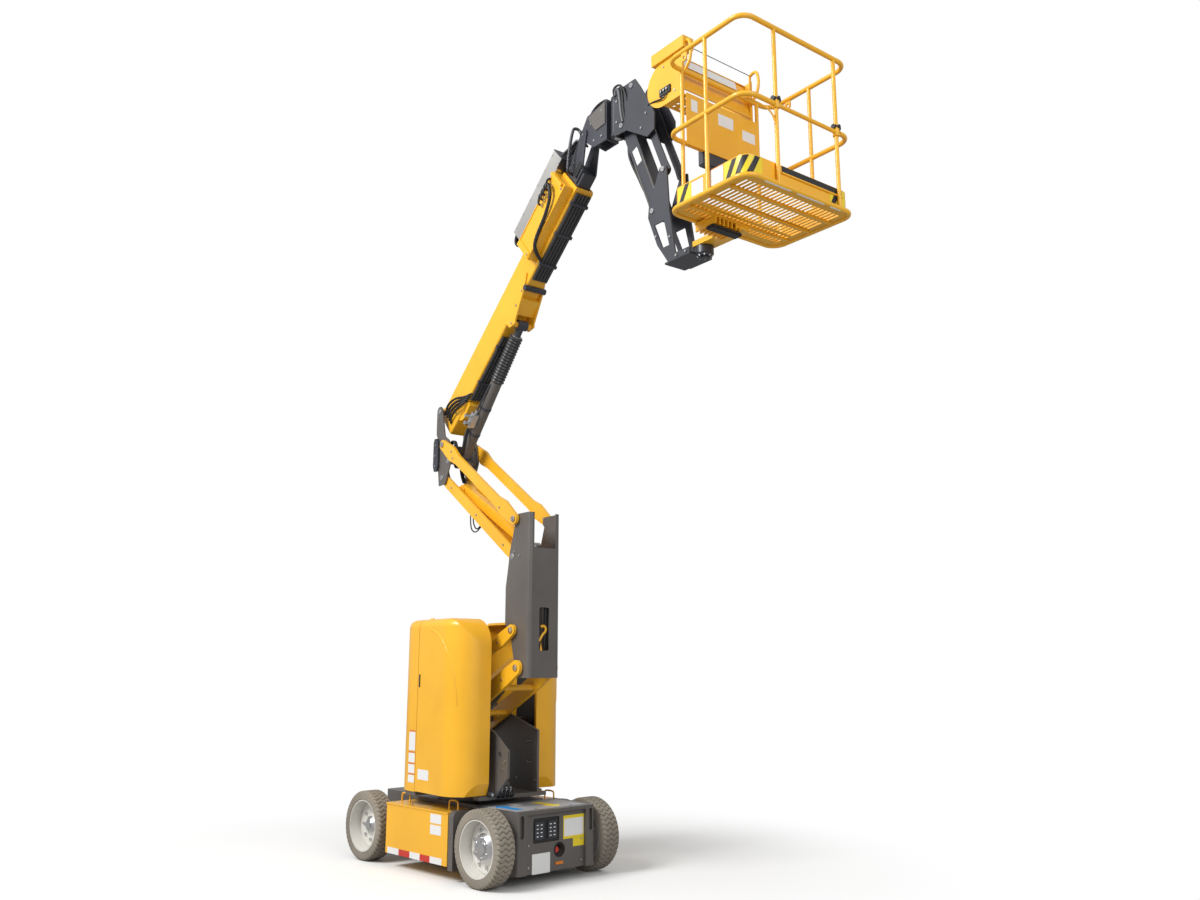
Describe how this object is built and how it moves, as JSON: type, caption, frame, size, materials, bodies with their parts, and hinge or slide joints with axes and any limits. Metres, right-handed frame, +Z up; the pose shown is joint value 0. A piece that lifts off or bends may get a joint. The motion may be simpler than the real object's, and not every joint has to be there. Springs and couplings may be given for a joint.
{
  "type": "articulating_boom_lift",
  "caption": "Electric articulating boom lift with a two-stage riser tower, a telescoping boom, a swinging jib and a rotating basket on a slewing turntable",
  "frame": {"origin": "on the ground under the slew axis, at the middle of the chassis", "axes": "+X towards the charger end of the chassis, +Y to the left, +Z up"},
  "size_m": [5.03, 1.5102, 6.2006],
  "materials": {
    "yellow_paint": "satin",
    "grey_paint": "satin",
    "charcoal_paint": "satin",
    "rod_steel": "polished",
    "black_rubber": "matte",
    "tyre_rubber": "matte",
    "wheel_paint": "satin",
    "tray_aluminium": "satin",
    "floor_steel": "satin"
  },
  "bodies": {
    "chassis": {"chassis_frame": "grey_paint", "front_cover": "grey_paint", "battery_box_left": "yellow_paint", "battery_box_right": "yellow_paint", "drive_unit_left": "charcoal_paint", "drive_unit_right": "charcoal_paint", "slew_ring": "grey_paint"},
    "knuckle_left": {"knuckle_left": "charcoal_paint"},
    "knuckle_right": {"knuckle_right": "charcoal_paint"},
    "turntable": {"turntable": "grey_paint", "tail_cover_left": "yellow_paint", "tail_cover_right": "yellow_paint", "counterweight": "grey_paint", "slew_drive": "grey_paint"},
    "hood_left": {"hood_door_left": "yellow_paint"},
    "hood_right": {"hood_door_right": "yellow_paint"},
    "lower_arm": {"lower_arm": "yellow_paint", "lower_cylinder_barrel": "grey_paint"},
    "lower_link": {"lower_link": "yellow_paint"},
    "lower_rod": {"lower_cylinder_rod": "rod_steel"},
    "riser": {"riser": "grey_paint"},
    "upper_arm": {"upper_arm": "yellow_paint"},
    "upper_link": {"upper_link": "yellow_paint", "upper_cylinder_barrel": "yellow_paint"},
    "upper_rod": {"upper_cylinder_rod": "rod_steel"},
    "upright": {"upright": "grey_paint"},
    "main_boom": {"main_boom": "yellow_paint", "hose_panel": "yellow_paint"},
    "lift_rod": {"lift_cylinder_rod": "rod_steel", "lift_bellows": "black_rubber"},
    "lift_barrel": {"lift_cylinder_barrel": "grey_paint"},
    "fly": {"fly_boom": "charcoal_paint", "hose_tray": "tray_aluminium"},
    "nose": {"nose": "charcoal_paint"},
    "jib_base": {"jib_base": "charcoal_paint"},
    "jib_arm": {"jib_arm": "charcoal_paint"},
    "jib_link": {"jib_link": "charcoal_paint"},
    "platform_support": {"platform_support": "grey_paint"},
    "basket": {"basket_rails": "yellow_paint", "toe_board": "yellow_paint", "basket_floor": "floor_steel", "rear_panel": "yellow_paint", "console": "yellow_paint"},
    "entry_bar": {"entry_bar": "yellow_paint"},
    "wheel_front_left": {"tyre_front_left": "tyre_rubber", "rim_front_left": "wheel_paint"},
    "wheel_front_right": {"tyre_front_right": "tyre_rubber", "rim_front_right": "wheel_paint"},
    "wheel_rear_left": {"tyre_rear_left": "tyre_rubber", "rim_rear_left": "wheel_paint"},
    "wheel_rear_right": {"tyre_rear_right": "tyre_rubber", "rim_rear_right": "wheel_paint"}
  },
  "joints": [
    {"name": "wheel_front_left", "type": "hinge", "parent": "chassis", "child": "wheel_front_left", "pos_m": [0.825, 0.538, 0.288], "axis": [0, 1, 0], "continuous": true},
    {"name": "steer_left", "type": "hinge", "parent": "chassis", "child": "knuckle_left", "pos_m": [-0.825, 0.4, 0.288], "axis": [0, 0, 1], "range_deg": [-35, 35]},
    {"name": "wheel_rear_left", "type": "hinge", "parent": "knuckle_left", "child": "wheel_rear_left", "pos_m": [-0.825, 0.538, 0.288], "axis": [0, 1, 0], "continuous": true},
    {"name": "wheel_front_right", "type": "hinge", "parent": "chassis", "child": "wheel_front_right", "pos_m": [0.825, -0.538, 0.288], "axis": [0, 1, 0], "continuous": true},
    {"name": "steer_right", "type": "hinge", "parent": "chassis", "child": "knuckle_right", "pos_m": [-0.825, -0.4, 0.288], "axis": [0, 0, 1], "range_deg": [-35, 35]},
    {"name": "wheel_rear_right", "type": "hinge", "parent": "knuckle_right", "child": "wheel_rear_right", "pos_m": [-0.825, -0.538, 0.288], "axis": [0, 1, 0], "continuous": true},
    {"name": "slew", "type": "hinge", "parent": "chassis", "child": "turntable", "pos_m": [0, 0, 0.6], "axis": [0, 0, 1], "range_deg": [-177.5, 177.5]},
    {"name": "hood_left", "type": "hinge", "parent": "turntable", "child": "hood_left", "pos_m": [0.43477, 0.28966, 1.3], "axis": [0, 0, -1], "range_deg": [0, 80]},
    {"name": "hood_right", "type": "hinge", "parent": "turntable", "child": "hood_right", "pos_m": [0.56561, -0.38599, 1.3], "axis": [0, 0, 1], "range_deg": [0, 80]},
    {"name": "lower_arm", "type": "hinge", "parent": "turntable", "child": "lower_arm", "pos_m": [-0.2275, 0.02191, 1.10396], "axis": [-0.0958, -0.9954, 0], "range_deg": [-47, 44]},
    {"name": "lower_link", "type": "hinge", "parent": "turntable", "child": "lower_link", "pos_m": [-0.30713, 0.02957, 1.40396], "axis": [-0.0958, -0.9954, 0], "range_deg": [-47, 44]},
    {"name": "riser", "type": "hinge", "parent": "lower_arm", "child": "riser", "pos_m": [0.84609, -0.08147, 1.63], "axis": [-0.0958, -0.9954, 0], "range_deg": [-44, 47]},
    {"name": "lower_cylinder", "type": "slide", "parent": "lower_arm", "child": "lower_rod", "axis": [0.8271, -0.0796, 0.5564], "range_m": [-0.11, 0.1]},
    {"name": "upper_arm", "type": "hinge", "parent": "riser", "child": "upper_arm", "pos_m": [0.77939, -0.07505, 2.842], "axis": [0.0958, 0.9954, 0], "range_deg": [-39.9, 38.1]},
    {"name": "upper_link", "type": "hinge", "parent": "riser", "child": "upper_link", "pos_m": [0.71967, -0.0693, 2.535], "axis": [0.0958, 0.9954, 0], "range_deg": [-39.9, 38.1]},
    {"name": "upright", "type": "hinge", "parent": "upper_arm", "child": "upright", "pos_m": [-0.46485, 0.04476, 3.68196], "axis": [0.0958, 0.9954, 0], "range_deg": [-38.1, 39.9]},
    {"name": "upper_cylinder", "type": "slide", "parent": "upper_link", "child": "upper_rod", "axis": [0.8672, -0.0835, -0.4908], "range_m": [-0.11, 0.11]},
    {"name": "main_boom", "type": "hinge", "parent": "upright", "child": "main_boom", "pos_m": [-0.59724, 0.05751, 4.02996], "axis": [-0.0958, -0.9954, 0], "range_deg": [-41, 34]},
    {"name": "lift_swing", "type": "hinge", "parent": "main_boom", "child": "lift_rod", "pos_m": [0.56907, -0.0548, 4.61788], "axis": [-0.0958, -0.9954, 0], "range_deg": [-2.8, 3.4]},
    {"name": "lift_cylinder", "type": "slide", "parent": "lift_rod", "child": "lift_barrel", "axis": [-0.6672, 0.0642, -0.7421], "range_m": [-0.33, 0.27], "deforming": ["lift_bellows"]},
    {"name": "telescope", "type": "slide", "parent": "main_boom", "child": "fly", "axis": [0.7512, -0.0723, 0.6561], "range_m": [0, 1.2]},
    {"name": "nose_level", "type": "hinge", "parent": "fly", "child": "nose", "pos_m": [1.57973, -0.15211, 6.01062], "axis": [-0.0958, -0.9954, 0], "range_deg": [-34, 41]},
    {"name": "jib_swing", "type": "hinge", "parent": "nose", "child": "jib_base", "pos_m": [1.95399, -0.18815, 6.01062], "axis": [0, 0, 1], "range_deg": [-90, 90]},
    {"name": "jib", "type": "hinge", "parent": "jib_base", "child": "jib_arm", "pos_m": [2.13316, -0.2054, 5.83562], "axis": [-0.0958, -0.9954, 0], "range_deg": [-3, 122]},
    {"name": "jib_link", "type": "hinge", "parent": "jib_base", "child": "jib_link", "pos_m": [2.26058, -0.21767, 6.12562], "axis": [-0.0958, -0.9954, 0], "range_deg": [-3, 122]},
    {"name": "platform_level", "type": "hinge", "parent": "jib_arm", "child": "platform_support", "pos_m": [2.49487, -0.24023, 4.97955], "axis": [-0.0958, -0.9954, 0], "range_deg": [-122, 3]},
    {"name": "platform_rotate", "type": "hinge", "parent": "platform_support", "child": "basket", "pos_m": [2.93285, -0.2824, 4.57455], "axis": [0, 0, 1], "range_deg": [-90, 90]},
    {"name": "entry_bar", "type": "slide", "parent": "basket", "child": "entry_bar", "axis": [0, 0, 1], "range_m": [0, 0.45]}
  ],
  "couplings": [
    {"joint": "steer_right", "follows": "steer_left", "ratio": 1},
    {"joint": "lower_link", "follows": "lower_arm", "ratio": 1},
    {"joint": "riser", "follows": "lower_arm", "ratio": -1},
    {"joint": "lower_cylinder", "follows": "lower_arm", "m_per_rad": 0.1235},
    {"joint": "upper_link", "follows": "upper_arm", "ratio": 1},
    {"joint": "upright", "follows": "upper_arm", "ratio": -1},
    {"joint": "upper_cylinder", "follows": "upper_arm", "m_per_rad": -0.106},
    {"joint": "lift_swing", "follows": "main_boom", "ratio": -0.08},
    {"joint": "lift_cylinder", "follows": "main_boom", "m_per_rad": 0.45},
    {"joint": "nose_level", "follows": "main_boom", "ratio": -1},
    {"joint": "jib_link", "follows": "jib", "ratio": 1},
    {"joint": "platform_level", "follows": "jib", "ratio": -1}
  ]
}
